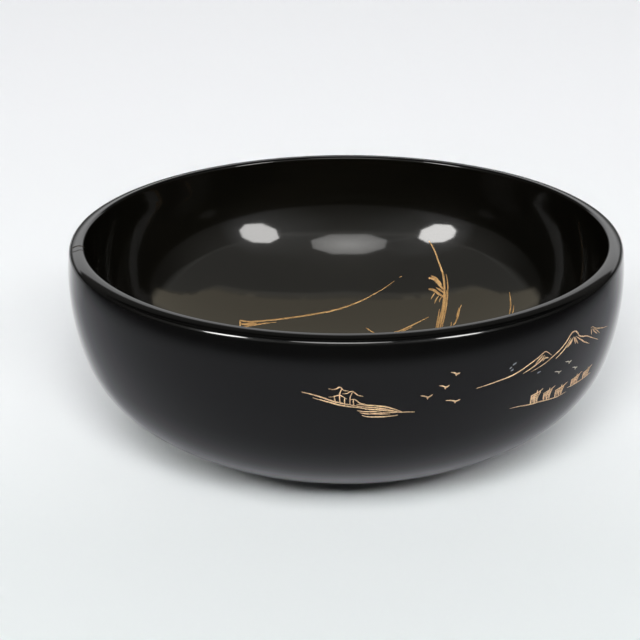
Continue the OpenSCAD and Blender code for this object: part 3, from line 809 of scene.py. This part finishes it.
def emitter(name, verts, faces, levels, colour, power, mirror):
    """A flat light that fades with the level given at each corner, clear where it is 0.
    mirror: it is seen only as a reflection; otherwise it only lights what is matt."""
    me = bpy.data.meshes.new(name)
    me.from_pydata(verts, [], faces)
    me.attributes.new("level", "FLOAT", "POINT").data.foreach_set("value", levels)
    ob = bpy.data.objects.new(name, me)
    scene.collection.objects.link(ob)
    m = bpy.data.materials.new(name)
    m.use_nodes = True
    nt = m.node_tree
    nt.nodes.remove(nt.nodes["Principled BSDF"])
    em = nt.nodes.new("ShaderNodeEmission")
    em.inputs["Color"].default_value = (*colour, 1)
    level = node(nt, "ShaderNodeAttribute", attribute_name="level").outputs["Fac"]
    # a light mirrored twice inside the bowl comes out weaker than one mirrored once
    depth = nt.nodes.new("ShaderNodeLightPath").outputs["Ray Depth"]
    again = math_of(nt, "GREATER_THAN", depth, 1.5)
    once = math_of(nt, "SUBTRACT", 1.0, math_of(nt, "MULTIPLY", again, DIMMED * mirror))
    nt.links.new(math_of(nt, "MULTIPLY", math_of(nt, "MULTIPLY", level, power), once), em.inputs["Strength"])
    clear = nt.nodes.new("ShaderNodeBsdfTransparent")
    mix = nt.nodes.new("ShaderNodeMixShader")
    nt.links.new(math_of(nt, "GREATER_THAN", level, OPAQUE), mix.inputs[0])
    glow = nt.nodes.new("ShaderNodeAddShader")
    nt.links.new(clear.outputs[0], glow.inputs[0])
    nt.links.new(em.outputs[0], glow.inputs[1])
    nt.links.new(glow.outputs[0], mix.inputs[1])
    nt.links.new(em.outputs[0], mix.inputs[2])
    nt.links.new(mix.outputs[0], nt.nodes["Material Output"].inputs["Surface"])
    me.materials.append(m)
    ob.visible_camera = False
    ob.visible_shadow = False
    ob.visible_diffuse = not mirror
    ob.visible_glossy = mirror
    return ob


# the inside of the bowl and its drawing mirror two more panels overhead that the outside does not show
hollow = bpy.data.collections.new("inside_of_bowl")
for piece in [inner_coat] + inside_lines:
    hollow.objects.link(piece)

# the polished roll of the lip shows the softboxes brighter than the inner wall does
brim = bpy.data.collections.new("outside_of_bowl")
brim.objects.link(outer_coat)


def overhead(name, near, far, soft, colour, power, h=2.5):
    """A level panel above the object between two edges, given for half its width as places (x, y) over its
    height h. soft: how far each edge fades, to each side of it."""
    cols, side_fade = 60, 5.0
    x = np.linspace(-near[-1][0], near[-1][0], cols + 1)
    y0 = np.interp(abs(x), *zip(*near))
    y1 = np.interp(abs(x), *zip(*far))
    verts, levels, faces = [], [], []
    for i in range(cols + 1):
        side = min(1.0, min(i, cols - i) / side_fade)
        for y, k in ((y0[i] - soft[0], 0), (y0[i], 0.5), (y0[i] + soft[0], 1),
                     (y1[i] - soft[1], 1), (y1[i] + soft[1], 0)):
            verts.append((x[i] * h, y * h, h))
            levels.append(k * side)
    for i in range(cols):
        for k in range(4):
            a = i * 5 + k
            faces.append((a, a + 1, a + 6, a + 5))
    ob = emitter(name, verts, faces, levels, colour, power, True)
    ob.light_linking.receiver_collection = hollow


meeting = [(0, -0.20), (0.5, -0.12), (1.05, -0.02), (1.35, 0.33)]     # the edge the two panels share
overhead("diffuser", meeting + [(2.5, 1.1)], [(0, 0.55), (0.6, 0.63), (1.35, 0.93), (2.5, 1.65)], (0.05, 0.2),
         (1.0, 0.90, 0.70), 1.55)
overhead("ceiling", [(0, -1.7), (1.2, -1.6), (1.9, -0.8), (2.3, 0.3)], meeting + [(2.3, 0.95)], (0.15, 0.05),
         (1.0, 0.99, 0.93), 0.62)


def softbox(name, x, z, w, h, power, rim=1.0, glow=0.045, y=-1.485):
    """An eight-sided softbox standing in front, facing the backdrop side; its centre is at x, z (metres).
    rim: brightness of its edge against its middle; glow: light it spills round itself. Its glint is seen
    on the outer coat only."""
    a, c = 0.42, 0.46
    eight = [(-1, a), (-c, 1), (c, 1), (1, a), (1, -a), (c, -1), (-c, -1), (-1, -a)]
    fan = [(i, (i + 1) % 8, 8) for i in range(8)]

    def spread(size, back):
        return [(x + px * w * size, y - back, z + pz * h * size) for px, pz in eight + [(0, 0)]]

    emitter(name, spread(0.5, 0.0), fan, [rim] * 8 + [1.0], (1.0, 0.99, 0.97), power, True)
    emitter(name + "_glow", spread(1.5, 0.02), fan, [0.0] * 8 + [CLEAR], (0.93, 0.97, 1.0), power * glow, True)
    glint = emitter(name + "_glint", spread(0.5, -0.03), fan, [CLEAR] * 9, (1.0, 0.99, 0.97), power * 0.7, True)
    glint.light_linking.receiver_collection = brim


softbox("softbox_right", 1.56, 1.02, 0.96, 0.72, 18.0)
softbox("softbox_left", -1.72, 1.03, 1.02, 0.71, 23.0)
softbox("softbox_middle", -0.05, 1.40, 1.16, 0.72, 7.6, 0.5, 0.02)


def lamp(name, az, el, wide, high, share, dist=7.0):
    """A far light for the paper and the gold, wide by high degrees; share is its part of their light."""
    a, e = math.radians(az), math.radians(el)
    d = Vector((math.sin(a) * math.cos(e), -math.cos(a) * math.cos(e), math.sin(e)))
    side = Vector((math.cos(a), math.sin(a), 0)) * dist * math.tan(math.radians(wide / 2))
    up = side.normalized().cross(d) * -dist * math.tan(math.radians(high / 2))
    c = d * dist
    power = share * math.pi / (4 * side.length * up.length / dist ** 2 * d.z)
    emitter(name, [c - side - up, c + side - up, c + side + up, c - side + up], [(0, 1, 2, 3)], [1.0] * 4,
            (1.0, 1.0, 1.0), power, False)


for row in (("lamp_left", -45, 34, 16, 8, 0.037), ("lamp_right", 45, 34, 16, 8, 0.037),
            ("lamp_front", 0, 34.5, 46, 7, 0.595), ("lamp_above", 0, 43, 24, 14, 0.43),
            ("lamp_back", 180, 20, 70, 14, 0.167), ("lamp_back_left", -120, 13, 60, 10, 0.056),
            ("lamp_back_right", 120, 13, 60, 10, 0.056)):
    lamp(*row)

world = bpy.data.worlds.new("studio")
scene.world = world
world.use_nodes = True
nt = world.node_tree
nt.nodes.clear()
tc = nt.nodes.new("ShaderNodeTexCoord")
sep = nt.nodes.new("ShaderNodeSeparateXYZ")
nt.links.new(tc.outputs["Generated"], sep.inputs[0])
X, Y, Z = sep.outputs


def smooth_range(value, a, b, lo=0.0, hi=1.0):
    n = nt.nodes.new("ShaderNodeMapRange")
    n.interpolation_type = "SMOOTHSTEP"
    nt.links.new(value, n.inputs["Value"])
    for k, v in (("From Min", a), ("From Max", b), ("To Min", lo), ("To Max", hi)):
        n.inputs[k].default_value = v
    return n.outputs["Result"]


# white paper low behind the object, higher in the middle; a dim ceiling in front of it; the dark room at
# the sides
aside = math_of(nt, "DIVIDE", math_of(nt, "ABSOLUTE", X), math_of(nt, "MAXIMUM", Y, 0.01))
aside = math_of(nt, "MINIMUM", aside, 4.0)
top = math_of(nt, "ADD", math_of(nt, "MULTIPLY", aside, -0.41), 0.64)
back = smooth_range(math_of(nt, "SUBTRACT", Z, top), 0.03, -0.03)
back = math_of(nt, "MULTIPLY", back, smooth_range(aside, 1.05, 0.85))
back = math_of(nt, "MULTIPLY", back, smooth_range(Y, 0.0, 0.1))
back = math_of(nt, "MULTIPLY", back, smooth_range(Z, 0.14, 0.30, 0.15, 1.25))
front = smooth_range(Y, 0.25, -0.35)
ceiling = math_of(nt, "MULTIPLY", smooth_range(Z, -0.22, 0.56, 0.0, 0.42),
                  math_of(nt, "ADD", math_of(nt, "MULTIPLY", front, 0.75), 0.25))
bg = nt.nodes.new("ShaderNodeBackground")
bg.inputs["Color"].default_value = (0.985, 0.99, 1.0, 1)
nt.links.new(math_of(nt, "MULTIPLY", back, 0.88), bg.inputs["Strength"])
warm = nt.nodes.new("ShaderNodeBackground")
warm.inputs["Color"].default_value = (1.0, 0.985, 0.92, 1)
nt.links.new(math_of(nt, "ADD", ceiling, 0.02), warm.inputs["Strength"])
both = nt.nodes.new("ShaderNodeAddShader")
nt.links.new(bg.outputs[0], both.inputs[0])
nt.links.new(warm.outputs[0], both.inputs[1])
seen = nt.nodes.new("ShaderNodeBackground")
seen.inputs["Color"].default_value = (0.885, 0.905, 0.915, 1)
seen.inputs["Strength"].default_value = 1.0
lp = nt.nodes.new("ShaderNodeLightPath")
mix = nt.nodes.new("ShaderNodeMixShader")
nt.links.new(lp.outputs["Is Camera Ray"], mix.inputs[0])
nt.links.new(both.outputs[0], mix.inputs[1])
nt.links.new(seen.outputs[0], mix.inputs[2])
world.cycles_visibility.diffuse = False
out = nt.nodes.new("ShaderNodeOutputWorld")
nt.links.new(mix.outputs[0], out.inputs["Surface"])

cam_data = bpy.data.cameras.new("camera")
cam = bpy.data.objects.new("camera", cam_data)
scene.collection.objects.link(cam)
scene.camera = cam
cam_data.sensor_width = 36.0
cam_data.lens = 109.45
cam_data.dof.use_dof = False
place = Vector((0.0, -0.9275, 0.4348))
aim = Vector((-0.01317, 0.0, 0.0610))
turn = (aim - place).to_track_quat("-Z", "Y").to_matrix().to_4x4()
tilt = Matrix.Rotation(math.radians(-0.34), 4, "Z")
cam.matrix_world = Matrix.Translation(place) @ turn @ tilt
